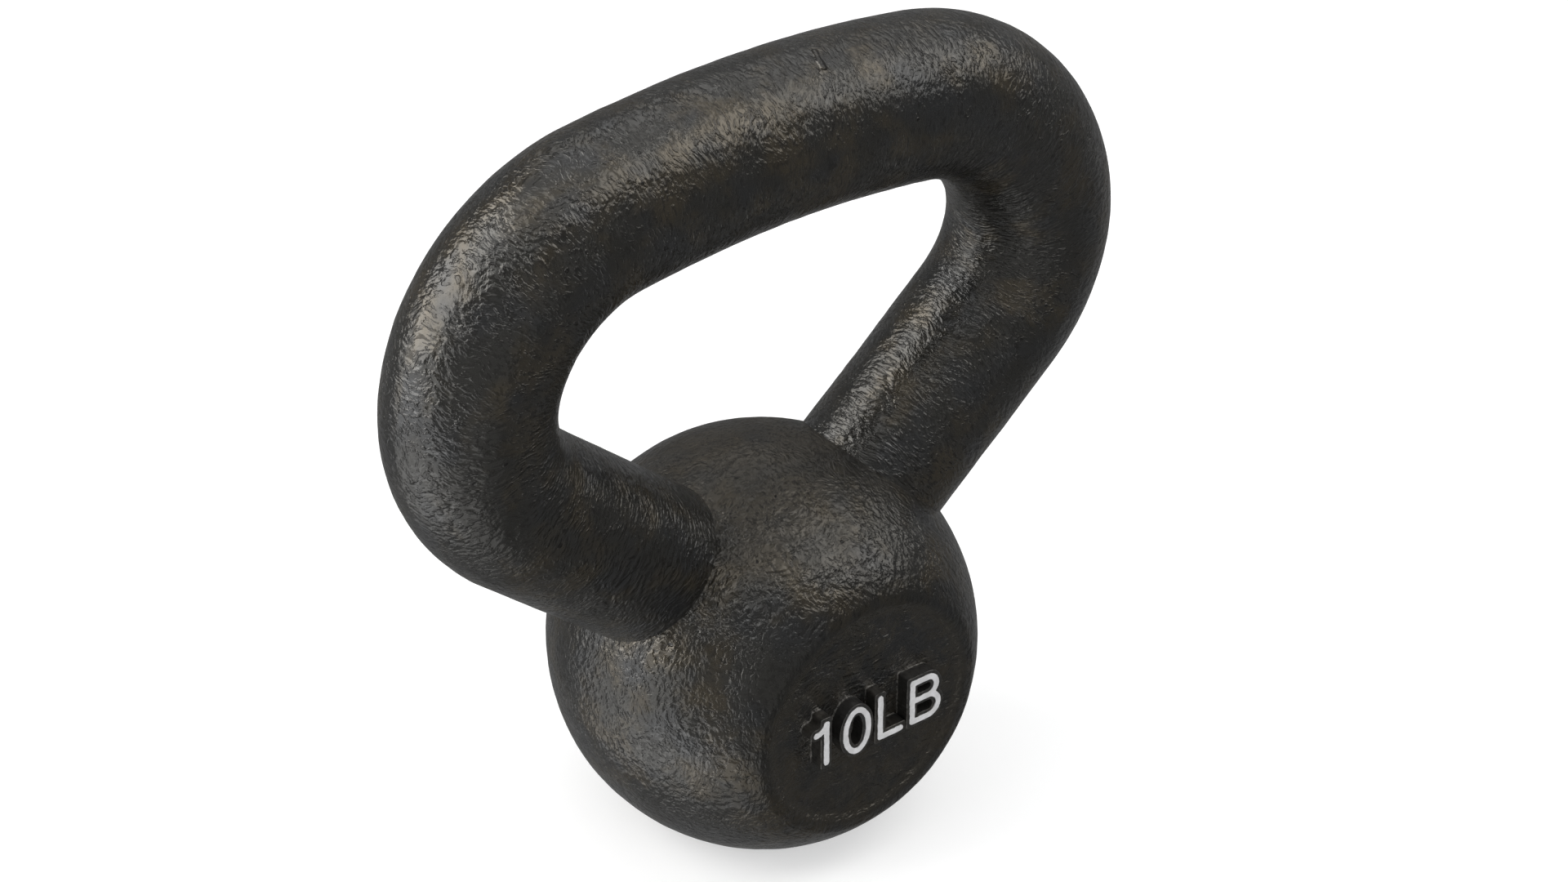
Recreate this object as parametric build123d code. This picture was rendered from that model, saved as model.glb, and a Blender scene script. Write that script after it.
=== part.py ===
from build123d import *

import os
from math import asin, degrees, sqrt

# A small cast-iron kettlebell, in millimetres. +Z is up, the front faces -Y, and the origin is the
# centre of the flat that it stands on.
#
# A bent round bar is the handle. Both of its ends are seated in sockets in the ball, which is cast
# round them. The ball has a round flat on its front and another on its back, each with a rounded
# rim and a shallow recess. Four raised characters on the front one state the weight, and each has
# a stripe of paint along its face.

# Ball
ball_radius = 45.0
base_cut = 5.9  # how much of the ball the flat underneath takes off
base_rim_radius = 3.0
face_cut = 9.0  # the same for the front and the back flat
face_rim_radius = 4.0
recess_depth = 0.7
recess_land = 0.2  # flat left between the rim's rounding and the recess
recess_slope = 1.0  # how far the recess's wall leans inwards on its way down

# Handle: from the top of the grip, each half is three arcs and then a straight horn
bar_diameter = 34.3
grip_rise = 116.2  # from the ball's centre to the bar's axis at the top of the grip
crown_radius = 254.0
crown_angle = 8.46
shoulder_radius = 37.4
shoulder_angle = 66.2
elbow_radius = 30.4
horn_aim = 5.2  # the horns' axes cross this far above the ball's centre
socket_depth = 17.0  # along the horn's axis, from the ball's surface
socket_clearance = 0.0  # cast round the bar, so the two touch all over

# Weight mark
cap_height = 11.0  # over the paint
paint_stroke = 1.45
paint_margin = 0.68  # bare metal on each side of the paint
paint_thickness = 0.15
mark_corner = 0.5  # rounding of the metal's outside corners, where the paint's ends are half round
mark_raise = 3.25  # from the recess's floor
mark_lift = 0.5  # the middle of the row, above the middle of the disc
one_x = -13.05  # where each upright stands, and the middle of the nought
zero_x = -5.3
ell_x = 0.68
bee_x = 8.95
flag_reach = 2.6
flag_drop = 1.9
zero_width = 7.3
zero_height = 11.4
zero_sag = 0.35  # the nought stands a little low in the row
foot_reach = 5.25
upper_bowl_reach = 6.2
lower_bowl_reach = 6.75
waist_rise = 0.3

# Worked out from the values above
ball_height = ball_radius - base_cut
face_distance = ball_radius - face_cut
floor_distance = face_distance - recess_depth
stroke_top = (cap_height - paint_stroke) / 2
mark_stroke = paint_stroke + 2 * paint_margin

front = (0, -1, 0)
back = (0, 1, 0)
down = (0, 0, -1)


def facing(direction, distance):
    """The plane that faces this way, this far from the ball's centre."""
    origin = Vector(0, 0, ball_height) + Vector(direction) * distance
    return Plane(origin=origin, x_dir=(1, 0, 0), z_dir=direction)


def flattened(ball, direction, cut, rim_radius):
    """The ball with a flat cut on this side, and the flat's edge rounded."""
    ball = split(ball, bisect_by=facing(direction, ball_radius - cut), keep=Keep.BOTTOM)
    flat = ball.faces().sort_by(Axis((0, 0, 0), direction))[-1]
    return fillet(flat.edges(), rim_radius)


def recess(direction):
    """What is taken out of a face flat: a shallow dish with a sloping wall."""
    rim_radius = sqrt((ball_radius - face_rim_radius) ** 2 - (face_distance - face_rim_radius) ** 2)
    mouth_radius = rim_radius - recess_land
    from_floor = (Align.CENTER, Align.CENTER, Align.MIN)
    dish = Cone(mouth_radius - recess_slope, mouth_radius, recess_depth, align=from_floor)
    return facing(direction, floor_distance) * dish


def turn_to_aim(start, heading, radius, aim):
    """How far a clockwise arc turns before its tangent runs through a point, in degrees."""
    centre = start + heading.rotate(Axis.Z, -90) * radius
    to_aim = aim - centre
    return heading.get_angle(to_aim) + degrees(asin(radius / to_aim.length))


def half_centreline():
    """The three arcs of the handle's right half, from the top of the grip down, in X and Z."""
    crown = JernArc((0, ball_height + grip_rise), (1, 0), crown_radius, -crown_angle)
    shoulder = JernArc(crown @ 1, crown % 1, shoulder_radius, -shoulder_angle)
    aim = Vector(0, ball_height + horn_aim)
    turn = turn_to_aim(shoulder @ 1, shoulder % 1, elbow_radius, aim)
    elbow = JernArc(shoulder @ 1, shoulder % 1, elbow_radius, -turn)
    return crown, shoulder, elbow


def horn_end(start, heading, depth):
    """The point on the horn's axis that is this deep in the ball."""
    from_centre = start - Vector(0, ball_height)
    to_middle = -from_centre.dot(heading)
    aside = (from_centre + heading * to_middle).length
    to_surface = to_middle - sqrt(ball_radius**2 - aside**2)
    return start + heading * (to_surface + depth)


def bent_bar(radius, depth):
    """A round bar along the handle's centreline, with both ends this deep in the ball."""
    crown, shoulder, elbow = half_centreline()
    horn = Line(elbow @ 1, horn_end(elbow @ 1, elbow % 1, depth))
    path = Plane.XZ * Wire([crown.edge(), shoulder.edge(), elbow.edge(), horn.edge()])
    section = Plane(origin=path @ 0, z_dir=path % 0) * Circle(radius)
    right = sweep(section, path=path)
    return right + mirror(right, about=Plane.YZ)


def ball_body():
    """The ball with its flats, the two recesses and the sockets for the handle's ends."""
    ball = Pos(0, 0, ball_height) * Sphere(ball_radius)
    ball = flattened(ball, down, base_cut, base_rim_radius)
    for side in (front, back):
        ball = flattened(ball, side, face_cut, face_rim_radius) - recess(side)
    return ball - bent_bar(bar_diameter / 2 + socket_clearance, socket_depth + socket_clearance)


def stroke(path, width):
    """A band of even width, with round ends, along an open path."""
    return Sketch() + Face(Wire(path.edges()).offset_2d(width / 2))


def one(width):
    """An upright, and a curved flag from its top."""
    upright = Line((one_x, -stroke_top), (one_x, stroke_top))
    tip = (one_x - flag_reach, stroke_top - flag_drop)
    bend = (one_x - 0.4 * flag_reach, stroke_top - 0.75 * flag_drop)
    flag = ThreePointArc(tip, bend, (one_x, stroke_top))
    return stroke(upright, width) + stroke(flag, width)


def zero(width):
    """An oval ring."""
    across = (zero_width - paint_stroke) / 2
    tall = (zero_height - paint_stroke) / 2
    half = width / 2
    ring = Ellipse(across + half, tall + half) - Ellipse(across - half, tall - half)
    return Pos(zero_x, -zero_sag) * ring


def ell(width):
    """An upright and a foot."""
    corner = (ell_x, -stroke_top)
    return stroke(Polyline((ell_x, stroke_top), corner, (ell_x + foot_reach, -stroke_top)), width)


def bee(width):
    """An upright and two bowls that share the waist."""
    letter = stroke(Line((bee_x, -stroke_top), (bee_x, stroke_top)), width)
    for edge, reach in ((stroke_top, upper_bowl_reach), (-stroke_top, lower_bowl_reach)):
        bend_x = bee_x + reach - abs(edge - waist_rise) / 2
        middle = (bee_x + reach, (edge + waist_rise) / 2)
        out = Line((bee_x, edge), (bend_x, edge))
        bend = ThreePointArc((bend_x, edge), middle, (bend_x, waist_rise))
        home = Line((bend_x, waist_rise), (bee_x, waist_rise))
        letter += stroke(out + bend + home, width)
    return letter


def squared(letter, ends):
    """A character in metal whose strokes' round ends are filled out to near square ones."""
    for end in ends:
        letter += Pos(*end) * RectangleRounded(mark_stroke, mark_stroke, mark_corner)
    return letter


def on_front(sketch, distance, thickness):
    """A sketch stood on the front disc, from this far in front of the recess's floor."""
    return facing(front, floor_distance + distance) * Pos(0, mark_lift) * extrude(sketch, thickness)


nodes = {
    "ball_body": ball_body(),
    "handle": bent_bar(bar_diameter / 2, socket_depth),
}
characters = {"numeral_one": one, "numeral_zero": zero, "letter_l": ell, "letter_b": bee}
square_ends = {
    "numeral_one": [(one_x, stroke_top), (one_x, -stroke_top)],
    "numeral_zero": [],
    "letter_l": [(ell_x, stroke_top), (ell_x, -stroke_top), (ell_x + foot_reach, -stroke_top)],
    "letter_b": [(bee_x, stroke_top), (bee_x, -stroke_top)],
}
for name, shape in characters.items():
    nodes[name] = on_front(squared(shape(mark_stroke), square_ends[name]), 0, mark_raise)
    nodes[name + "_paint"] = on_front(shape(paint_stroke), mark_raise, paint_thickness)

os.makedirs("parts", exist_ok=True)
for name, solid in nodes.items():
    export_step(solid, f"parts/{name}.step")
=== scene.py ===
from math import atan2, cos, pi, radians, sin, sqrt

import bpy
import numpy as np
from mathutils import Matrix, Vector, noise


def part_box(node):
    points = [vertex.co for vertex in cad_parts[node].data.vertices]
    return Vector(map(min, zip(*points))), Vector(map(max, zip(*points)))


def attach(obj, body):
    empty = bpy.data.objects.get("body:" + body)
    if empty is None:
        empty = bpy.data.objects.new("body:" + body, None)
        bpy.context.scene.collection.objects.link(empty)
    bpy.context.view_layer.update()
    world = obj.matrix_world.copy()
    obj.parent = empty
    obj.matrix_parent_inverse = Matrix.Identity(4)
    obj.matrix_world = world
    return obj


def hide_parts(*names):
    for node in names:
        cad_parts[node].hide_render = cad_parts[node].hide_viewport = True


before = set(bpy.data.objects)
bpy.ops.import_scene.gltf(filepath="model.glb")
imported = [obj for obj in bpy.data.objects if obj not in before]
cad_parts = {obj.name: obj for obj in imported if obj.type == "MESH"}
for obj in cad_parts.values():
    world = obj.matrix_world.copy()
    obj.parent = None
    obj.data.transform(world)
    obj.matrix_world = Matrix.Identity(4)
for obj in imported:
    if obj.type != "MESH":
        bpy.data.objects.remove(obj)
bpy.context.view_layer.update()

# The looks of a small cast-iron kettlebell. Everything is in metres, in the CAD's frame: +Z is up
# and the front faces -Y.
#
# The ball and the handle are built again here as finer meshes of the same shape, so that they can
# have the lumps of a sand casting. The raised characters and their paint are finer copies of the
# CAD's. Smaller relief than those meshes can hold is bump in the materials.

mm = 0.001

# Sizes, read from the CAD where its boxes give them
ball_low, ball_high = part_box("ball_body")
ball_radius = ball_high.x
ball_centre = Vector((0, 0, ball_high.z - ball_radius))
base_distance = ball_centre.z - ball_low.z
face_distance = ball_high.y
handle_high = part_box("handle")[1]
bar_radius = handle_high.y
grip_height = handle_high.z - bar_radius

# Sizes that the boxes don't give, the same as in the CAD but for the recess's wall
base_rim_radius = 3.0 * mm
face_rim_radius = 4.0 * mm
recess_depth = 0.7 * mm
recess_slope = 2.2 * mm  # gentler than in the CAD, as sand leaves it
recess_land = 0.2 * mm
crown = (254.0 * mm, radians(8.46))  # the radius of each bend, and how far it turns
shoulder = (37.4 * mm, radians(66.2))
elbow = (30.4 * mm, radians(64.76))
horn_length = 52.4 * mm  # the straight part below the elbow, down to the end inside the ball

# How finely the meshes are divided
ball_longitudes = 360
ball_step = 0.85 * mm
rim_step = 0.45 * mm
bar_sides = 174
bar_step = 0.625 * mm
wall_divisions = 6
character_voxel = 0.11 * mm
paint_voxel = 0.07 * mm
smoothing_rounds = 2
weld_reach = 0.002 * mm

# The casting's lumps that are real shape: how far across each kind is, and how deep
sway_size = 26 * mm
sway_depth = 0.16 * mm
lump_size = 6.5 * mm
lump_depth = 0.085 * mm
ripple_size = 2.6 * mm
ripple_depth = 0.05 * mm
dimple_size = 1.9 * mm
dimple_depth = 0.07 * mm
lumpy_area_size = 17 * mm
even_area_share = 0.55  # how much of the lumps and ripples is left outside the lumpy areas
skin_depth = 0.22 * mm  # how far the casting's skin lies below its mould's on average
relief_start = 0.6 * mm  # above the floor, so that the flat underneath stays flat
relief_full = 3 * mm

# The characters and the paint
root_level = -(face_distance - recess_depth) - 0.1 * mm  # the characters' back lies behind this
root_depth = 0.6 * mm  # how far the characters go into the disc, as its skin lies below the CAD's
side_size = 1.5 * mm
side_depth = 0.07 * mm
drawn_size = 0.55 * mm  # the marks that drawing the pattern out of the sand leaves
drawn_depth = 0.05 * mm
drawn_share = 0.15  # how fast those change towards the disc, next to along the outline
character_shrink = 0.05 * mm  # how far the surface lies below the CAD's on average
character_swell = 0.02 * mm  # the most that it stands above the CAD's
paint_gap = 0.09 * mm  # how far the paint stays inside its edge in the CAD
paint_stretch = 1.5  # in thickness, into the metal, so that no gap shows under it
ragged_size = 0.5 * mm  # the unevenness of the stripe's edge
ragged_depth = 0.07 * mm
stray_size = 1.3 * mm  # the stripe's drift to one side and the other
stray_depth = 0.09 * mm
coat_size = 0.9 * mm  # the thick and the thin spots
coat_depth = 0.03 * mm
coat_sink = 0.02 * mm  # how far the paint's front lies behind the CAD's on average


# ---------------------------------------------------------------- mesh helpers


def wobble(points, size, seed):
    """Smooth noise from about -1 to 1 at each point, with features about this size."""
    shift = Vector((13.7, 5.3, 9.1)) * seed
    return np.array([noise.noise(Vector(point) / size + shift) for point in points])


def smooth_step(value, low, high):
    """0 below low, 1 above high, and an S-shaped ramp between."""
    share = np.clip((value - low) / (high - low), 0, 1)
    return share * share * (3 - 2 * share)


def casting_relief(points, seed):
    """How far a cast surface lies below its mould's at each point: never above it."""
    sway = wobble(points, sway_size, seed) * sway_depth
    lumps = wobble(points, lump_size, seed + 1) * lump_depth
    ripple = wobble(points, ripple_size, seed + 2) * ripple_depth
    lumpy = smooth_step(wobble(points, lumpy_area_size, seed + 3), -0.35, 0.35)
    dimples = smooth_step(wobble(points, dimple_size, seed + 4), 0.28, 0.6) * dimple_depth
    share = even_area_share + (1 - even_area_share) * lumpy
    return np.minimum(sway + (lumps + ripple) * share - dimples * lumpy - skin_depth, 0)


def mesh_object(name, vertices, faces):
    """A new smooth-shaded mesh object in the scene."""
    mesh = bpy.data.meshes.new(name)
    mesh.from_pydata([tuple(v) for v in vertices], [], faces)
    mesh.shade_smooth()
    mesh.update()
    piece = bpy.data.objects.new(name, mesh)
    bpy.context.scene.collection.objects.link(piece)
    return piece


def apply_modifiers(piece):
    """Makes the shape that the piece's modifiers give its own mesh."""
    bpy.context.view_layer.update()
    graph = bpy.context.evaluated_depsgraph_get()
    finished = bpy.data.meshes.new_from_object(piece.evaluated_get(graph))
    piece.modifiers.clear()
    piece.data = finished


def read_points(mesh):
    """The mesh's vertices as rows of x, y and z."""
    points = np.zeros(len(mesh.vertices) * 3)
    mesh.vertices.foreach_get("co", points)
    return points.reshape(-1, 3)


def write_points(mesh, points):
    """Moves the mesh's vertices to these rows of x, y and z."""
    mesh.vertices.foreach_set("co", points.ravel())
    mesh.update()


def read_normals(mesh):
    """The direction that the surface faces at each vertex."""
    normals = np.zeros(len(mesh.vertices) * 3)
    mesh.vertices.foreach_get("normal", normals)
    return normals.reshape(-1, 3)


def rings_to_faces(rings, around):
    """Quads between one ring of vertices and the next, and a triangle fan at each end.
    The last two vertices are the points in the middle of the first and the last ring."""
    faces = []
    for ring in range(rings - 1):
        for side in range(around):
            a = ring * around + side
            b = ring * around + (side + 1) % around
            faces.append((a, b, b + around, a + around))
    last = (rings - 1) * around
    for side in range(around):
        beside = (side + 1) % around
        faces.append((rings * around, beside, side))
        faces.append((rings * around + 1, last + side, last + beside))
    return faces


# ---------------------------------------------------------------- ball


def steps(start, end, step):
    """Even divisions from start up to end, without end, near this step apart."""
    count = max(1, round(abs(end - start) / step))
    return [start + (end - start) * i / count for i in range(count)]


def rim_centre_radius(flat_distance, rim_radius):
    """How far from a flat's axis the middle of the arc that rounds its edge is."""
    return sqrt((ball_radius - rim_radius) ** 2 - (flat_distance - rim_radius) ** 2)


def side_profile():
    """The ball's outline from the middle of the front or the back disc to the ball's widest, as
    radius and distance."""
    rim_centre = rim_centre_radius(face_distance, face_rim_radius)
    rim_end = atan2(rim_centre, face_distance - face_rim_radius)
    mouth = rim_centre - recess_land
    profile = []
    for radius in steps(ball_step, mouth - recess_slope, ball_step):
        profile.append((radius, face_distance - recess_depth))
    for radius in steps(mouth - recess_slope, mouth, recess_slope / wall_divisions):
        share = smooth_step(radius, mouth - recess_slope, mouth)
        profile.append((radius, face_distance - recess_depth * (1 - share)))
    profile.append((mouth, face_distance))
    for angle in steps(0, rim_end, rim_step / face_rim_radius):
        radius = rim_centre + face_rim_radius * sin(angle)
        profile.append((radius, face_distance - face_rim_radius * (1 - cos(angle))))
    for angle in steps(rim_end, pi / 2, ball_step / ball_radius):
        profile.append((ball_radius * sin(angle), ball_radius * cos(angle)))
    return profile


def base_reach(angle):
    """How far the ball goes from its centre, at this angle from straight down."""
    rim_centre = rim_centre_radius(base_distance, base_rim_radius)
    flat_end = atan2(rim_centre, base_distance)
    rim_end = atan2(rim_centre, base_distance - base_rim_radius)
    if angle < flat_end:
        return base_distance / cos(angle)
    if angle < rim_end:
        along = rim_centre * sin(angle) + (base_distance - base_rim_radius) * cos(angle)
        off = rim_centre**2 + (base_distance - base_rim_radius) ** 2 - base_rim_radius**2
        return along + sqrt(along**2 - off)
    return ball_radius


def build_ball(handle):
    """The ball with its faces, recesses and base, cast round the handle's ends."""
    half = side_profile()
    front = [(radius, -distance) for radius, distance in half]
    back = [(radius, distance) for radius, distance in reversed(half)]
    profile = front + [(ball_radius, 0)] + back
    points = []
    for radius, y in profile:
        for side in range(ball_longitudes):
            turn = 2 * pi * side / ball_longitudes
            points.append((radius * sin(turn), y, radius * cos(turn)))
    points.append((0, -(face_distance - recess_depth), 0))
    points.append((0, face_distance - recess_depth, 0))
    for index, point in enumerate(points):
        reach = sqrt(point[0] ** 2 + point[1] ** 2 + point[2] ** 2)
        angle = atan2(sqrt(point[0] ** 2 + point[1] ** 2), -point[2])
        limit = base_reach(angle)
        if reach > limit:
            points[index] = tuple(value * limit / reach for value in point)
    points = np.array(points) + np.array(ball_centre)
    ball = mesh_object("cast_ball", points, rings_to_faces(len(profile), ball_longitudes))
    relief = casting_relief(points, 1) * smooth_step(points[:, 2], relief_start, relief_full)
    write_points(ball.data, points + read_normals(ball.data) * relief[:, None])
    sockets = ball.modifiers.new("sockets", "BOOLEAN")
    sockets.operation = "DIFFERENCE"
    sockets.solver = "MANIFOLD"
    sockets.object = handle
    apply_modifiers(ball)
    ball.data.set_sharp_from_angle(angle=radians(42))
    return ball


# ---------------------------------------------------------------- handle


def place_on_bar(distance):
    """Where the bar's axis is in X and Z, and how far down it points, this far from its top."""
    x, z, heading = 0, grip_height, 0
    left = abs(distance)
    for radius, bend in (crown, shoulder, elbow):
        step = min(left, radius * bend)
        turned = heading + step / radius
        x += radius * (sin(turned) - sin(heading))
        z += radius * (cos(turned) - cos(heading))
        heading = turned
        left -= step
    x += left * cos(heading)
    z -= left * sin(heading)
    return (x, z, heading) if distance >= 0 else (-x, z, -heading)


def build_handle():
    """The bent bar. Its "straight" attribute is where each point would be on the straight bar."""
    half_length = horn_length + sum(radius * bend for radius, bend in (crown, shoulder, elbow))
    distances = np.linspace(-half_length, half_length, round(2 * half_length / bar_step))
    points = []
    normals = []
    straight = []
    for distance in distances:
        x, z, heading = place_on_bar(distance)
        for side in range(bar_sides):
            turn = 2 * pi * side / bar_sides
            out_x, out_y, out_z = cos(turn) * sin(heading), sin(turn), cos(turn) * cos(heading)
            normals.append((out_x, out_y, out_z))
            points.append((x + bar_radius * out_x, bar_radius * out_y, z + bar_radius * out_z))
            straight.append((distance, bar_radius * sin(turn), bar_radius * cos(turn)))
    for distance in (distances[0], distances[-1]):
        x, z, heading = place_on_bar(distance)
        points.append((x, 0, z))
        normals.append((0, 0, 0))
        straight.append((distance, 0, 0))
    points = np.array(points) + np.array(normals) * casting_relief(points, 11)[:, None]
    handle = mesh_object("cast_handle", points, rings_to_faces(len(distances), bar_sides))
    attribute = handle.data.attributes.new("straight", "FLOAT_VECTOR", "POINT")
    attribute.data.foreach_set("vector", np.array(straight).ravel())
    handle.data.set_sharp_from_angle(angle=radians(60))
    return handle


# ---------------------------------------------------------------- characters and paint


def copy_of(node, name):
    """A new piece with a copy of a CAD node's mesh, every vertex shared by its faces."""
    piece = bpy.data.objects.new(name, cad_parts[node].data.copy())
    bpy.context.scene.collection.objects.link(piece)
    weld = piece.modifiers.new("weld", "WELD")
    weld.merge_threshold = weld_reach
    apply_modifiers(piece)
    return piece


def remesh(piece, voxel):
    """Divides the piece into even small faces and rounds off its edges."""
    even = piece.modifiers.new("even", "REMESH")
    even.mode = "VOXEL"
    even.voxel_size = voxel
    soft = piece.modifiers.new("soft", "SMOOTH")
    soft.factor = 0.5
    soft.iterations = smoothing_rounds
    apply_modifiers(piece)
    piece.data.shade_smooth()


def standing_out(mesh):
    """How far each vertex stands out from the middle of those round it: positive on an edge."""
    points = read_points(mesh)
    ends = np.zeros(len(mesh.edges) * 2, dtype=int)
    mesh.edges.foreach_get("vertices", ends)
    first, second = ends[0::2], ends[1::2]
    total = np.zeros_like(points)
    np.add.at(total, first, points[second])
    np.add.at(total, second, points[first])
    count = np.bincount(ends, minlength=len(points))
    middle = total / np.maximum(count, 1)[:, None]
    return ((points - middle) * read_normals(mesh)).sum(axis=1)


def build_character(node, seed):
    """A raised character as it comes out of the sand: soft edges, ragged sides, and a root that
    goes a little way into the disc. Its "edge" attribute is 1 along its outer edges and 0
    elsewhere."""
    piece = copy_of(node, node + "_cast")
    points = read_points(piece.data)
    points[points[:, 1] > root_level, 1] += root_depth
    write_points(piece.data, points)
    remesh(piece, character_voxel)
    points = read_points(piece.data)
    normals = read_normals(piece.data)
    edge = smooth_step(standing_out(piece.data), 0.06 * character_voxel, 0.22 * character_voxel)
    depth = wobble(points, side_size, seed) * side_depth
    depth += wobble(points * np.array((1, drawn_share, 1)), drawn_size, seed + 1) * drawn_depth
    depth = np.minimum(depth - character_shrink, character_swell)
    write_points(piece.data, points + normals * depth[:, None])
    attribute = piece.data.attributes.new("edge", "FLOAT", "POINT")
    attribute.data.foreach_set("value", edge)
    return piece


def build_paint(node, seed):
    """The paint along a character's face, with the uneven edge that a brush or roller leaves."""
    piece = copy_of(node, node + "_coat")
    points = read_points(piece.data)
    front = points[:, 1].min()
    points[:, 1] = front + (points[:, 1] - front) * paint_stretch
    write_points(piece.data, points)
    remesh(piece, paint_voxel)
    points = read_points(piece.data)
    outward = read_normals(piece.data) * np.array((1, 0, 1))
    flat = points.copy()
    flat[:, 1] = 0
    ragged = wobble(flat, ragged_size, seed + 3) * ragged_depth - paint_gap
    points += outward * ragged[:, None]
    points[:, 0] += wobble(flat, stray_size, seed) * stray_depth
    points[:, 2] += wobble(flat, stray_size, seed + 1) * stray_depth
    points[:, 1] += wobble(flat, coat_size, seed + 2) * coat_depth + coat_sink
    write_points(piece.data, points)
    return piece


# ---------------------------------------------------------------- material helpers


def add_node(tree, kind, sockets, **settings):
    """A new shader node. Each socket gets a value or is linked to another node's output."""
    made = tree.nodes.new("ShaderNode" + kind)
    for name, value in settings.items():
        setattr(made, name, value)
    for name, value in sockets.items():
        if isinstance(value, bpy.types.NodeSocket):
            tree.links.new(value, made.inputs[name])
        else:
            made.inputs[name].default_value = value
    return made


def sums(tree, operation, first, second):
    """The output of a Math node."""
    return add_node(tree, "Math", {0: first, 1: second}, operation=operation).outputs[0]


def stretched(tree, coordinates, across):
    """The coordinates, squeezed so that a texture on them comes out this much longer in X, Y, Z."""
    sockets = {"Vector": coordinates, "Scale": [1 / share for share in across]}
    return add_node(tree, "Mapping", sockets).outputs[0]


def noise_at(tree, coordinates, size, detail=2.0, rough=0.5, seed=0.0):
    """Noise from 0 to 1 with features about this size. Each seed gives another part of it."""
    place = add_node(tree, "VectorMath", {0: coordinates, 1: (seed, seed * 0.7, seed * 1.3)})
    sockets = {"Vector": place.outputs[0], "Scale": 1 / size, "Detail": detail, "Roughness": rough}
    return add_node(tree, "TexNoise", sockets).outputs[0]


def band(tree, value, low, high, to_low=0.0, to_high=1.0):
    """An S-shaped ramp from one value to another, as the input goes from low to high."""
    sockets = {"Value": value, "From Min": low, "From Max": high, "To Min": to_low, "To Max": to_high}
    return add_node(tree, "MapRange", sockets, interpolation_type="SMOOTHSTEP").outputs[0]


def blend_numbers(tree, share, first, second):
    """The first number where share is 0, and the second where it is 1."""
    return add_node(tree, "Mix", {0: share, 2: first, 3: second}, data_type="FLOAT").outputs[0]


def blend_colours(tree, share, first, second):
    """The first colour where share is 0, and the second where it is 1."""
    return add_node(tree, "Mix", {0: share, 6: first, 7: second}, data_type="RGBA").outputs[2]


def near_line(tree, place, start, end, reach):
    """1 on the line between two points, falling to 0 this far from it."""
    start, end = Vector(start), Vector(end)
    along = end - start
    offset = add_node(tree, "VectorMath", {0: place, 1: start}, operation="SUBTRACT").outputs[0]
    sockets = {0: offset, 1: along / along.length_squared}
    share = add_node(tree, "VectorMath", sockets, operation="DOT_PRODUCT").outputs["Value"]
    share = add_node(tree, "Clamp", {"Value": share}).outputs[0]
    nearest = add_node(tree, "VectorMath", {0: along, "Scale": share}, operation="SCALE").outputs[0]
    gap = add_node(tree, "VectorMath", {0: offset, 1: nearest}, operation="DISTANCE").outputs["Value"]
    return band(tree, gap, 0.35 * reach, reach, 1.0, 0.0)


def new_material(name):
    """A material with one Principled shader: the material, its tree and the shader."""
    material = bpy.data.materials.new(name)
    material.use_nodes = True
    return material, material.node_tree, material.node_tree.nodes["Principled BSDF"]


# ---------------------------------------------------------------- materials

charcoal = (0.036, 0.0350, 0.0320, 1)
rust_brown = (0.056, 0.0475, 0.0340, 1)
blue_grey = (0.035, 0.0358, 0.0365, 1)
# The colour of the dirt in the hollows, also used round the discs as painted shade.
soot_and_painted_shade = (0.013, 0.012, 0.011, 1)
dust_brown = (0.066, 0.060, 0.050, 1)
disc_brown = (0.053, 0.0475, 0.0380, 1)
mark_grey = (0.075, 0.073, 0.069, 1)
# Light bare iron: wear on the characters' edges, and painted highlight along those edges and at their
# root.
bare_iron_and_painted_highlight = (0.55, 0.53, 0.50, 1)
clean_paint = (0.580, 0.580, 0.590, 1)
dull_paint = (0.490, 0.490, 0.495, 1)
scuffed_paint = (0.33, 0.325, 0.315, 1)
floor_white = (0.600, 0.604, 0.611, 1)
white = (1, 1, 1, 1)
black = (0, 0, 0, 1)
iron_metallic = 0.75
film_weight = 0.55
calm_film_weight = 0.40
film_roughness = 0.08
dusty_film_weight = 0.12
disc_film_weight = 0.36
rim_film_weight = 0.18  # on the rounding round each disc
dirty_film_weight = 0.05

# The cast surface's relief that is bump, and the areas where it changes
zone_size = 11 * mm
peel_size = 1.3 * mm
calm_peel_depth = 0.32 * mm
rough_peel_depth = 0.46 * mm
wrinkle_size = 0.95 * mm
wrinkle_detail = 1.8
wrinkle_start = 0.45
wrinkle_end = 0.67
calm_wrinkle_share = 0.65
wrinkle_depth = 0.13 * mm
calm_fine_depth = 0.034 * mm
rough_fine_depth = 0.016 * mm
fine_size = 0.42 * mm
pit_spacing = 3.2 * mm
pit_depth = 0.12 * mm
pit_area_size = 12 * mm
bend_size = 9 * mm
bend_reach = 5 * mm
combed_size = 1.5 * mm
combed_depth = 0.95 * mm
fine_combed_size = 0.65 * mm
fine_combed_depth = 0.32 * mm
crumb_size = 1.1 * mm
crumb_depth = 0.22 * mm
nick_depth = 0.60 * mm
scratch_depth = 0.25 * mm
scored_size = 0.45 * mm
scored_depth = 0.07 * mm
# How far up the characters the light line of painted highlight at their root reaches.
root_highlight_height = 0.35 * mm
brushed_size = 0.7 * mm
brushed_depth = 0.05 * mm

# The cast surface's gloss and colour
glossy = 0.20
less_glossy = 0.30
calm_matt = 0.02
mark_roughness = 0.28
dirt_roughness = 0.15
dust_roughness = 0.20
polish_size = 4 * mm
brown_area_size = 12 * mm
blue_area_size = 10 * mm
stain_size = 4 * mm
smear_size = 6 * mm
drift_size = 9 * mm
drift_height = 14 * mm
dust_start = 76 * mm
dust_full = 90 * mm


def on_bar(distance, turn):
    """A point on the straight bar's surface: this far along it, and turned this far from its top."""
    angle = radians(turn)
    return (distance, bar_radius * sin(angle), bar_radius * cos(angle))


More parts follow.
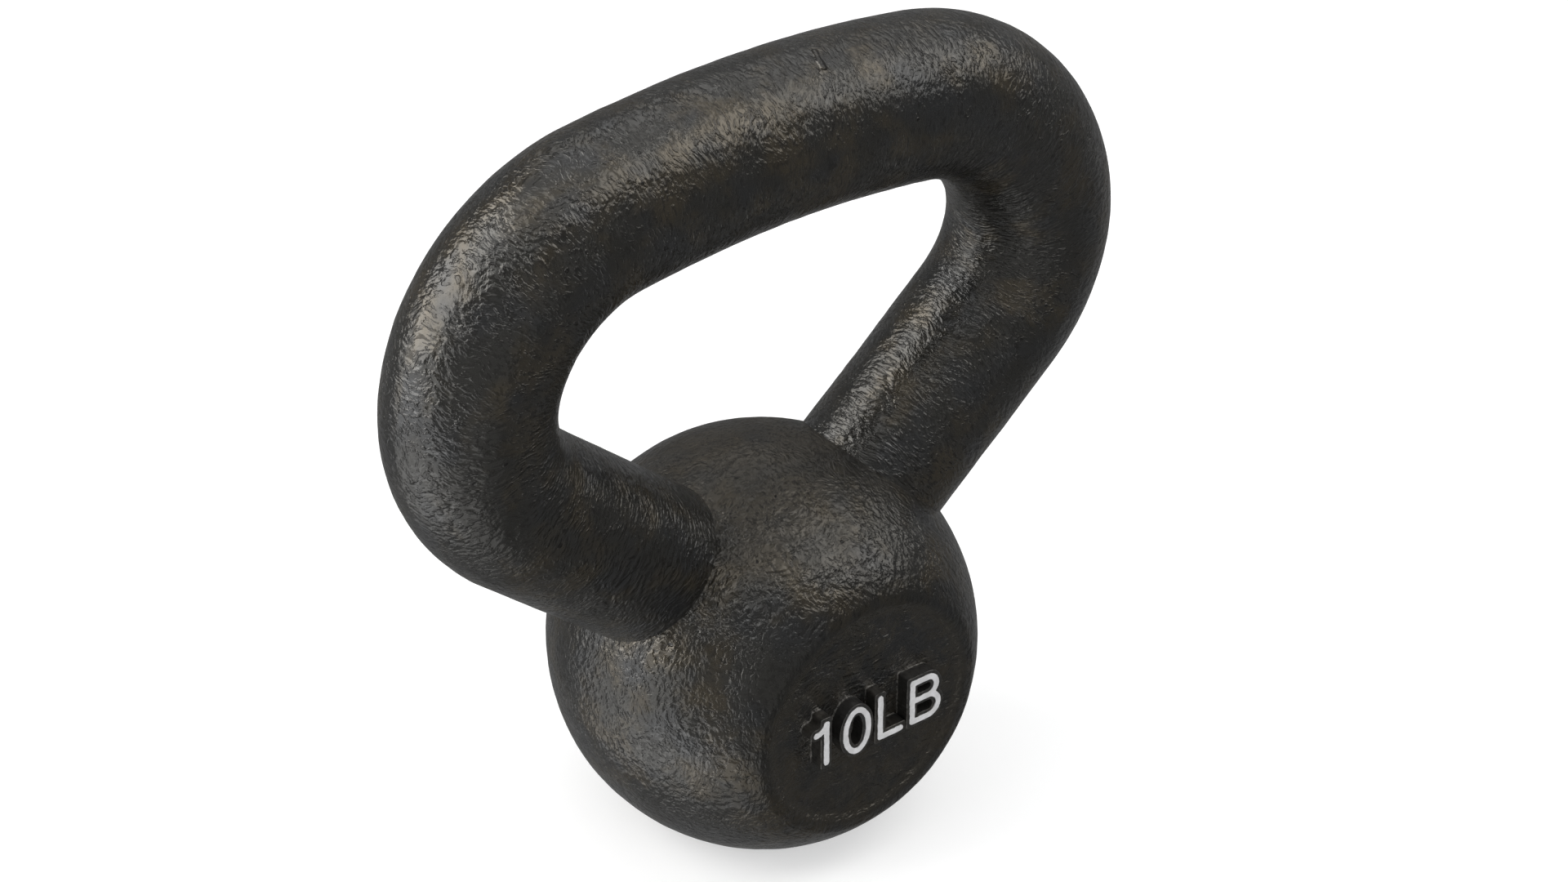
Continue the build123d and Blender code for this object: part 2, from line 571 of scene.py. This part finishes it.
def iron_texture(tree, place, grain, swayed, wrinkles, seed):
    """The cast surface: its height in metres, how much dirt lies in its hollows, and where it is
    rough and shiny rather than calm and matt."""
    rough_zone = band(tree, noise_at(tree, place, zone_size, 2.0, 0.5, seed), 0.40, 0.60)
    peel = noise_at(tree, grain, peel_size, 1.0, 0.5, seed + 1)
    wrinkle = noise_at(tree, grain, wrinkle_size, wrinkle_detail, 0.6, seed + 2)
    wrinkle = band(tree, wrinkle, wrinkle_start, wrinkle_end)
    fine = noise_at(tree, place, fine_size, 2.0, 0.6, seed + 3)
    fine_depth = band(tree, rough_zone, 0.0, 1.0, calm_fine_depth, rough_fine_depth)
    pit_cell = add_node(tree, "TexVoronoi", {"Vector": swayed, "Scale": 1 / pit_spacing})
    pit_here = band(tree, pit_cell.outputs["Distance"], 0.09, 0.16, 1.0, 0.0)
    pit_zone = band(tree, noise_at(tree, place, pit_area_size, 1.0, 0.5, seed + 4), 0.52, 0.62)
    pit = sums(tree, "MULTIPLY", pit_here, pit_zone)
    peel_depth = band(tree, rough_zone, 0.0, 1.0, calm_peel_depth, rough_peel_depth)
    wrinkle_share = band(tree, rough_zone, 0.0, 1.0, calm_wrinkle_share, 1.0)
    wrinkle = sums(tree, "MULTIPLY", wrinkle, wrinkle_share)
    height = sums(tree, "MULTIPLY", peel, peel_depth)
    height = sums(tree, "ADD", height, sums(tree, "MULTIPLY", wrinkle, -wrinkle_depth * wrinkles))
    height = sums(tree, "ADD", height, sums(tree, "MULTIPLY", fine, fine_depth))
    height = sums(tree, "ADD", height, sums(tree, "MULTIPLY", pit, -pit_depth))
    dirt = sums(tree, "MAXIMUM", sums(tree, "MULTIPLY", wrinkle, 0.7), pit)
    return height, dirt, rough_zone


def iron_gloss(tree, place, rough_zone, seed):
    """How rough the film is on a scale too small to see, and how much of a glaze lies over it."""
    polish = noise_at(tree, place, polish_size, 3.0, 0.6, seed + 7)
    matt = band(tree, rough_zone, 0.0, 1.0, calm_matt, 0.0)
    roughness = sums(tree, "ADD", band(tree, polish, 0.3, 0.7, glossy, less_glossy), matt)
    return roughness, band(tree, rough_zone, 0.0, 1.0, calm_film_weight, film_weight)


def iron_film(tree, place, seed):
    """The mottled black film on the iron: its colour."""
    brown_share = band(tree, noise_at(tree, place, brown_area_size, 3.0, 0.55, seed + 5), 0.44, 0.64)
    blue_share = band(tree, noise_at(tree, place, blue_area_size, 2.0, 0.45, seed + 6), 0.48, 0.72)
    colour = blend_colours(tree, brown_share, charcoal, rust_brown)
    return blend_colours(tree, blue_share, colour, blue_grey)


def finish_iron(tree, shader, colour, dirt, height, roughness, glaze):
    """Puts the film, the dirt, the relief and the glaze on the shader."""
    bump = add_node(tree, "Bump", {"Height": height, "Distance": 1.0, "Strength": 1.0})
    roughness = sums(tree, "ADD", roughness, sums(tree, "MULTIPLY", dirt, dirt_roughness))
    tree.links.new(blend_colours(tree, dirt, colour, soot_and_painted_shade), shader.inputs["Base Color"])
    tree.links.new(roughness, shader.inputs["Roughness"])
    tree.links.new(bump.outputs[0], shader.inputs["Normal"])
    tree.links.new(bump.outputs[0], shader.inputs["Coat Normal"])
    shader.inputs["Metallic"].default_value = iron_metallic
    tree.links.new(glaze, shader.inputs["Coat Weight"])
    shader.inputs["Coat Roughness"].default_value = film_roughness


def bent_grain(tree, place, lengths):
    """Two sets of coordinates that bend with a slow noise, so that no two runs of wrinkles are
    parallel: the plain ones, and those stretched by these lengths in X, Y and Z."""
    sway = add_node(tree, "TexNoise", {"Vector": place, "Scale": 1 / bend_size, "Detail": 1.0})
    sockets = {0: sway.outputs["Color"], 1: (0.5, 0.5, 0.5)}
    centred = add_node(tree, "VectorMath", sockets, operation="SUBTRACT").outputs[0]
    sockets = {0: centred, 1: (bend_reach, bend_reach, bend_reach), 2: place}
    swayed = add_node(tree, "VectorMath", sockets, operation="MULTIPLY_ADD").outputs[0]
    return swayed, stretched(tree, swayed, lengths)


def handle_iron():
    """The bar: wrinkles round it, and the nicks that years of use have left on the grip."""
    material, tree, shader = new_material("handle_iron")
    seed = 0.1
    place = add_node(tree, "Attribute", {}, attribute_name="straight").outputs["Vector"]
    swayed, grain = bent_grain(tree, place, (0.7, 1.7, 1.7))
    height, dirt, rough_zone = iron_texture(tree, place, grain, swayed, 1.0, seed)
    nick_bend = on_bar(9.2 * mm, -19)
    nick = near_line(tree, place, on_bar(10.2 * mm, -9), nick_bend, 0.65 * mm)
    nick_foot = near_line(tree, place, nick_bend, on_bar(9.0 * mm, -25), 0.85 * mm)
    scratch = near_line(tree, place, on_bar(29.0 * mm, -22), on_bar(30.2 * mm, -35), 0.34 * mm)
    nick = sums(tree, "MAXIMUM", nick, nick_foot)
    height = sums(tree, "ADD", height, sums(tree, "MULTIPLY", nick, -nick_depth))
    height = sums(tree, "ADD", height, sums(tree, "MULTIPLY", scratch, -scratch_depth))
    dirt = sums(tree, "MAXIMUM", dirt, sums(tree, "MULTIPLY", scratch, 0.7))
    roughness, glaze = iron_gloss(tree, place, rough_zone, seed)
    finish_iron(tree, shader, iron_film(tree, place, seed), dirt, height, roughness, glaze)
    return material


def ball_iron():
    """The ball: coarse skin, combed sideways on its discs, crumbly beside the mark, dusty on top,
    duller round the discs with painted shade darkening that rounding, and stained brown on the discs."""
    material, tree, shader = new_material("ball_iron")
    seed = 0.2
    place = add_node(tree, "TexCoord", {}).outputs["Object"]
    swayed, grain = bent_grain(tree, place, (0.95, 1.0, 1.25))
    height, dirt, rough_zone = iron_texture(tree, place, grain, swayed, 0.75, seed)

    # On the discs
    rim_centre = rim_centre_radius(face_distance, face_rim_radius)
    wall_radius = rim_centre - recess_land - recess_slope / 2
    depth_axis = sums(tree, "ABSOLUTE", add_node(tree, "SeparateXYZ", {0: place}).outputs[1], 0.0)
    offset = add_node(tree, "VectorMath", {0: place, 1: ball_centre}, operation="SUBTRACT").outputs[0]
    offset = add_node(tree, "VectorMath", {0: offset, 1: (1, 0, 1)}, operation="MULTIPLY").outputs[0]
    from_axis = add_node(tree, "VectorMath", {0: offset}, operation="LENGTH").outputs["Value"]
    on_disc = band(tree, from_axis, wall_radius - 0.5 * mm, wall_radius + 2.2 * mm, 1.0, 0.0)
    beyond_faces = band(tree, depth_axis, face_distance - 4 * mm, face_distance - 3 * mm)
    on_disc = sums(tree, "MULTIPLY", on_disc, beyond_faces)
    sideways = stretched(tree, swayed, (2.2, 1.0, 0.8))
    combed = noise_at(tree, sideways, combed_size, 2.0, 0.6, seed + 8)
    sideways = stretched(tree, swayed, (1.7, 1.0, 0.8))
    fine_combed = noise_at(tree, sideways, fine_combed_size, 2.0, 0.6, seed + 13)
    combed = sums(tree, "MULTIPLY", combed, combed_depth)
    combed = sums(tree, "ADD", combed, sums(tree, "MULTIPLY", fine_combed, fine_combed_depth))
    height = blend_numbers(tree, on_disc, height, combed)
    kept_dirt = sums(tree, "SUBTRACT", 1.0, sums(tree, "MULTIPLY", on_disc, 0.8))
    dirt = sums(tree, "MULTIPLY", dirt, kept_dirt)

    # Crumbs of sand that stuck beside the mark
    front = -(face_distance - recess_depth)
    middle = ball_centre.z
    start, end = (-17 * mm, front, middle - 5 * mm), (-15 * mm, front, middle)
    left_patch = near_line(tree, place, start, end, 4 * mm)
    start, end = (-3 * mm, front, middle + 6 * mm), (6 * mm, front, middle + 6 * mm)
    top_patch = near_line(tree, place, start, end, 4 * mm)
    crumbly = sums(tree, "MAXIMUM", left_patch, top_patch)
    crumbs = band(tree, noise_at(tree, swayed, crumb_size, 2.0, 0.6, seed + 9), 0.46, 0.60)
    crumbs = sums(tree, "MULTIPLY", crumbs, crumbly)
    height = sums(tree, "ADD", height, sums(tree, "MULTIPLY", crumbs, -crumb_depth))

    # Dust on top, between the horns, where no hand rubs it off
    level = add_node(tree, "SeparateXYZ", {0: place}).outputs[2]
    drift = noise_at(tree, place, drift_size, 2.0, 0.5, seed + 10)
    level = sums(tree, "ADD", level, sums(tree, "MULTIPLY", drift, drift_height))
    dust = band(tree, level, dust_start, dust_full)
    sideways = stretched(tree, place, (1.8, 1.0, 0.7))
    smear = band(tree, noise_at(tree, sideways, smear_size, 3.0, 0.55, seed + 11), 0.36, 0.64)
    dusty = sums(tree, "MULTIPLY", dust, sums(tree, "ADD", 0.35, sums(tree, "MULTIPLY", smear, 0.65)))
    colour = blend_colours(tree, dusty, iron_film(tree, place, seed), dust_brown)

    # The rounding round each disc is duller than the ball, and its colour is darkened a little towards
    # near-black: painted shade, standing in for the shading that a wider rounding would give.
    dull_rim_with_painted_shade = band(tree, depth_axis, face_distance - 5.0 * mm, face_distance - 2.0 * mm)
    colour = blend_colours(tree, sums(tree, "MULTIPLY", dull_rim_with_painted_shade, 0.15), colour, soot_and_painted_shade)

    # Brown stains on the discs, most of all along the recess's wall
    stain = band(tree, noise_at(tree, swayed, stain_size, 4.0, 0.65, seed + 12), 0.46, 0.62)
    wall_reach = sums(tree, "ABSOLUTE", sums(tree, "SUBTRACT", from_axis, wall_radius), 0.0)
    wall = band(tree, wall_reach, 0.8 * mm, 2.6 * mm, 0.8, 0.0)
    stain = sums(tree, "MAXIMUM", sums(tree, "MULTIPLY", stain, 0.75), wall)
    stain = sums(tree, "MULTIPLY", stain, on_disc)
    colour = blend_colours(tree, stain, colour, disc_brown)
    roughness, glaze = iron_gloss(tree, place, rough_zone, seed)
    roughness = sums(tree, "ADD", roughness, sums(tree, "MULTIPLY", dust, dust_roughness))
    glaze = blend_numbers(tree, dust, glaze, dusty_film_weight)
    disc_glaze = blend_numbers(tree, on_disc, rim_film_weight, disc_film_weight)
    glaze = blend_numbers(tree, dull_rim_with_painted_shade, glaze, disc_glaze)
    finish_iron(tree, shader, colour, dirt, height, roughness, glaze)
    return material


def mark_iron():
    """The raised characters: scores along their sides where the pattern was drawn out of the sand, a light
    bare-iron colour on their edges, partly wear and partly painted highlight, and a line of painted
    highlight where they meet the disc."""
    material, tree, shader = new_material("mark_iron")
    seed = 0.3
    place = add_node(tree, "TexCoord", {}).outputs["Object"]
    lengthways = stretched(tree, place, (1.0, 9.0, 1.0))
    scores = noise_at(tree, lengthways, scored_size, 2.0, 0.6, seed + 1)
    height = sums(tree, "MULTIPLY", scores, scored_depth)
    dirt = band(tree, noise_at(tree, place, 1.2 * mm, 2.0, 0.6, seed + 2), 0.48, 0.72, 0.0, 0.5)
    edge = add_node(tree, "Attribute", {}, attribute_name="edge").outputs["Fac"]
    broken = band(tree, noise_at(tree, place, 0.5 * mm, 2.0, 0.7, seed + 3), 0.36, 0.60, 0.10, 1.0)
    out = sums(tree, "ABSOLUTE", add_node(tree, "SeparateXYZ", {0: place}).outputs[1], 0.0)
    disc_level = face_distance - recess_depth
    # A light line where the characters meet the disc: painted highlight.
    root = band(tree, out, disc_level, disc_level + root_highlight_height, 1.0, 0.0)
    edge = sums(tree, "MAXIMUM", sums(tree, "MULTIPLY", edge, 0.45), root)
    worn_and_painted_highlight = sums(tree, "MULTIPLY", edge, broken)
    colour = blend_colours(tree, 0.5, iron_film(tree, place, seed), mark_grey)
    # The edges and that line turn a light bare-iron colour: partly wear, partly painted highlight.
    colour = blend_colours(tree, worn_and_painted_highlight, colour, bare_iron_and_painted_highlight)
    dirt = sums(tree, "MULTIPLY", dirt, sums(tree, "SUBTRACT", 1.0, worn_and_painted_highlight))
    glaze = band(tree, dirt, 0.0, 0.6, calm_film_weight, dirty_film_weight)
    finish_iron(tree, shader, colour, dirt, height, mark_roughness, glaze)
    return material


def paint_material():
    """Thick white enamel, duller in clouds and a little scuffed."""
    material, tree, shader = new_material("white_paint")
    place = add_node(tree, "TexCoord", {}).outputs["Object"]
    cloud = noise_at(tree, place, 2.2 * mm, 3.0, 0.6, 0.031)
    scuff = band(tree, noise_at(tree, place, 0.5 * mm, 3.0, 0.7, 0.047), 0.60, 0.74)
    colour = blend_colours(tree, band(tree, cloud, 0.35, 0.65), clean_paint, dull_paint)
    colour = blend_colours(tree, sums(tree, "MULTIPLY", scuff, 0.55), colour, scuffed_paint)
    brushed = noise_at(tree, place, brushed_size, 2.0, 0.6, 0.011)
    height = sums(tree, "MULTIPLY", brushed, brushed_depth)
    bump = add_node(tree, "Bump", {"Height": height, "Distance": 1.0, "Strength": 1.0})
    tree.links.new(colour, shader.inputs["Base Color"])
    tree.links.new(band(tree, cloud, 0.3, 0.7, 0.42, 0.58), shader.inputs["Roughness"])
    tree.links.new(bump.outputs[0], shader.inputs["Normal"])
    return material


# ---------------------------------------------------------------- the object


def stand_for(piece, node, material):
    """Shows this piece in the place of a CAD node, with this material."""
    piece.data.materials.clear()
    piece.data.materials.append(material)
    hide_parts(node)
    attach(piece, "root")


handle = build_handle()
ball = build_ball(handle)
raised_iron = mark_iron()
white_paint = paint_material()
stand_for(handle, "handle", handle_iron())
stand_for(ball, "ball_body", ball_iron())
for seed, character in enumerate(("numeral_one", "numeral_zero", "letter_l", "letter_b")):
    stand_for(build_character(character, 20 + seed), character, raised_iron)
    coat = build_paint(character + "_paint", 30 + seed)
    stand_for(coat, character + "_paint", white_paint)


# ---------------------------------------------------------------- floor and backdrop


near_glow = 0.46  # how much of full white the floor gives off by itself round the object


def seen_by_camera_only(stage):
    """Keeps a part of the stage out of the reflections and shadows on the object."""
    stage.visible_diffuse = False
    stage.visible_glossy = False
    stage.visible_transmission = False
    stage.visible_shadow = False


def build_floor():
    """A wide white floor. It glows near the object, so that it stays pale in the shadow, and more
    further off, where the lights don't reach."""
    half = 6.0
    corners = [(-half, -half, 0), (half, -half, 0), (half, half, 0), (-half, half, 0)]
    floor = mesh_object("floor", corners, [(0, 1, 2, 3)])
    material, tree, shader = new_material("floor_white")
    shader.inputs["Base Color"].default_value = floor_white
    shader.inputs["Roughness"].default_value = 1.0
    shader.inputs["Specular IOR Level"].default_value = 0.0
    shader.inputs["Emission Color"].default_value = white
    place = add_node(tree, "TexCoord", {}).outputs["Object"]
    away = add_node(tree, "VectorMath", {0: place}, operation="LENGTH").outputs["Value"]
    glow = band(tree, away, 0.4, 1.6, near_glow, 1.0)
    tree.links.new(glow, shader.inputs["Emission Strength"])
    floor.data.materials.append(material)
    seen_by_camera_only(floor)


def build_backdrop():
    """A white wall all round, far away, for views from lower down than the photo's."""
    half = 5.9
    corners = []
    for z in (-half, half):
        corners += [(-half, -half, z), (half, -half, z), (half, half, z), (-half, half, z)]
    walls = [(0, 1, 5, 4), (1, 2, 6, 5), (2, 3, 7, 6), (3, 0, 4, 7), (4, 5, 6, 7), (0, 3, 2, 1)]
    backdrop = mesh_object("backdrop", corners, walls)
    material, tree, shader = new_material("backdrop_white")
    shader.inputs["Base Color"].default_value = black
    shader.inputs["Specular IOR Level"].default_value = 0.0
    shader.inputs["Emission Color"].default_value = white
    shader.inputs["Emission Strength"].default_value = 1.0
    backdrop.data.materials.append(material)
    seen_by_camera_only(backdrop)


build_floor()
build_backdrop()

# ---------------------------------------------------------------- light

light_target = Vector((0, 0, 80 * mm))
light_distance = 1.2
warm = (1.0, 0.98, 0.945)
sky_brightness = 0.18


def towards(azimuth, elevation):
    """The direction to something at this azimuth, from the front towards +X, and elevation."""
    a, e = radians(azimuth), radians(elevation)
    return Vector((sin(a) * cos(e), -cos(a) * cos(e), sin(e)))


def soft_box(name, azimuth, elevation, width, height, brightness, colour=(1, 1, 1)):
    """A rectangular light of even brightness that faces the object."""
    lamp = bpy.data.lights.new(name, "AREA")
    lamp.color = colour
    lamp.shape = "RECTANGLE"
    lamp.size = width
    lamp.size_y = height
    lamp.energy = brightness * pi * width * height
    holder = bpy.data.objects.new(name, lamp)
    bpy.context.scene.collection.objects.link(holder)
    direction = towards(azimuth, elevation)
    holder.location = light_target + direction * light_distance
    holder.rotation_euler = (-direction).to_track_quat("-Z", "Y").to_euler()
    return holder


soft_box("left_box", azimuth=237, elevation=29, width=1.02, height=0.92, brightness=4.25, colour=warm)
soft_box("left_wide_box", azimuth=252, elevation=0, width=1.50, height=0.55, brightness=1.37)
soft_box("left_low_box", azimuth=256, elevation=-32, width=1.20, height=0.90, brightness=1.27)
soft_box("low_front_box", azimuth=298, elevation=-50, width=1.20, height=0.75, brightness=0.86)
soft_box("left_high_box", azimuth=262, elevation=58, width=0.80, height=0.60, brightness=1.35)
soft_box("right_box", azimuth=68, elevation=36, width=0.95, height=0.62, brightness=1.63, colour=warm)
soft_box("right_high_box", azimuth=42, elevation=60, width=0.70, height=0.60, brightness=1.92, colour=warm)
soft_box("top_box", azimuth=0, elevation=90, width=2.00, height=2.00, brightness=0.62)
soft_box("back_box", azimuth=128, elevation=50, width=1.60, height=0.66, brightness=0.63)
soft_box("front_fill", azimuth=325, elevation=-8, width=1.60, height=1.60, brightness=0.18)
bounce = soft_box("front_bounce", azimuth=350, elevation=15, width=1.40, height=1.40, brightness=1.90)
bounce.visible_glossy = False

world = bpy.data.worlds.new("studio")
world.use_nodes = True
sky = world.node_tree.nodes["Background"]
sky.inputs["Color"].default_value = white
sky.inputs["Strength"].default_value = sky_brightness
bpy.context.scene.world = world

# ---------------------------------------------------------------- camera

camera_azimuth = -37.584
camera_elevation = 32.843
camera_roll = 0.097
camera_distance = 808.68 * mm
aim_right = 4.58 * mm  # the middle of the picture, beside and above the ball's centre
aim_up = 39.74 * mm
sensor_width = 36.0
focal_length = 89.444


def place_camera():
    """Looks at the object from in front, to its left and above."""
    back = towards(camera_azimuth, camera_elevation)
    right = Vector((cos(radians(camera_azimuth)), sin(radians(camera_azimuth)), 0))
    up = back.cross(right)
    lens = bpy.data.cameras.new("camera")
    lens.sensor_width = sensor_width
    lens.lens = focal_length
    lens.clip_start = 0.01
    lens.clip_end = 100
    roll = radians(camera_roll)
    across = right * cos(roll) + up * sin(roll)
    upward = up * cos(roll) - right * sin(roll)
    pose = Matrix((across, upward, back)).transposed().to_4x4()
    pose.translation = ball_centre + right * aim_right + up * aim_up + back * camera_distance
    camera = bpy.data.objects.new("camera", lens)
    camera.matrix_world = pose
    bpy.context.scene.collection.objects.link(camera)
    bpy.context.scene.camera = camera


place_camera()
bpy.context.scene.view_settings.view_transform = "Standard"

bpy.context.view_layer.update()
